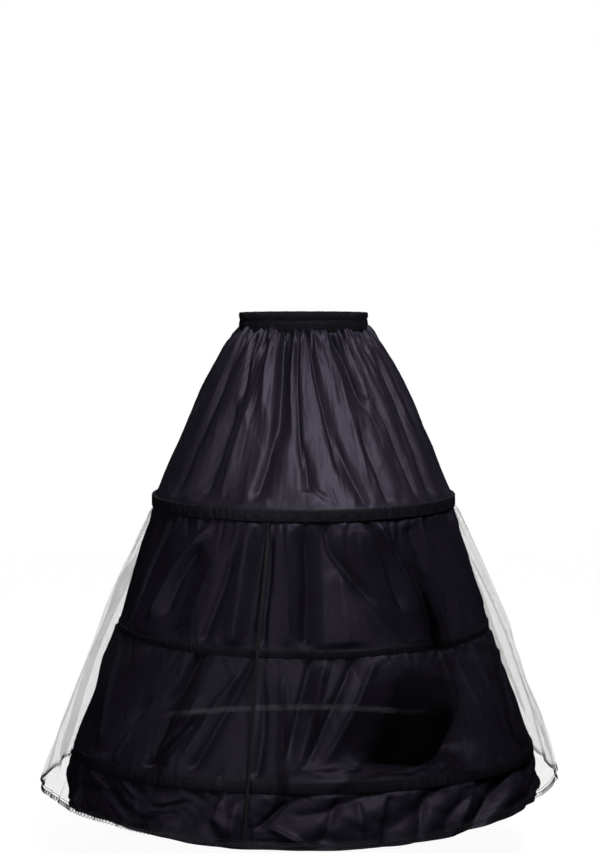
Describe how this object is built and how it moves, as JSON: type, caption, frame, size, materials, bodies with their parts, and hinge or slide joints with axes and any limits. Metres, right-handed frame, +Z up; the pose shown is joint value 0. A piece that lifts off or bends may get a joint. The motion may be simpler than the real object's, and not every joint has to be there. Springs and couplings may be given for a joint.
{
  "type": "hooped crinoline petticoat",
  "caption": "Floor-length hooped petticoat: a tiered taffeta skirt held out by steel hoops, with a gathered elastic waist and a net overskirt edged with lace.",
  "frame": {"origin": "middle of the waist opening, level with the waistband's upper edge", "axes": "+Z up along the wearer's body, -Y to the wearer's front, +X to the wearer's left"},
  "size_m": [0.9801, 0.9802, 0.9055],
  "materials": {
    "taffeta": "dark plum-black taffeta, fine weave, low sheen",
    "casing_tape": "black woven tape, stitched",
    "elastic": "black ribbed elastic",
    "hoop_steel": "white nylon-coated flat spring steel",
    "sleeve_metal": "pressed zinc-plated steel",
    "net": "fine black hexagonal net, see-through",
    "net_tape": "narrow black binding, overlocked",
    "lace": "black cord lace with looped scallops"
  },
  "bodies": {
    "root": {"waistband": "taffeta", "waist_elastic": "elastic", "upper_tier": "taffeta", "top_hoop_casing": "casing_tape", "top_hoop": "hoop_steel", "top_hoop_connector": "sleeve_metal", "net_heading_tape": "casing_tape", "middle_tier": "taffeta", "middle_hoop_casing": "casing_tape", "middle_hoop": "hoop_steel", "middle_hoop_connector": "sleeve_metal", "lower_tier": "taffeta", "bottom_hoop_casing": "casing_tape", "bottom_hoop": "hoop_steel", "bottom_hoop_connector": "sleeve_metal", "hem_flounce": "taffeta", "net_overlay": "net", "net_seam_binding": "net_tape", "net_hem_lace": "lace"}
  },
  "joints": []
}
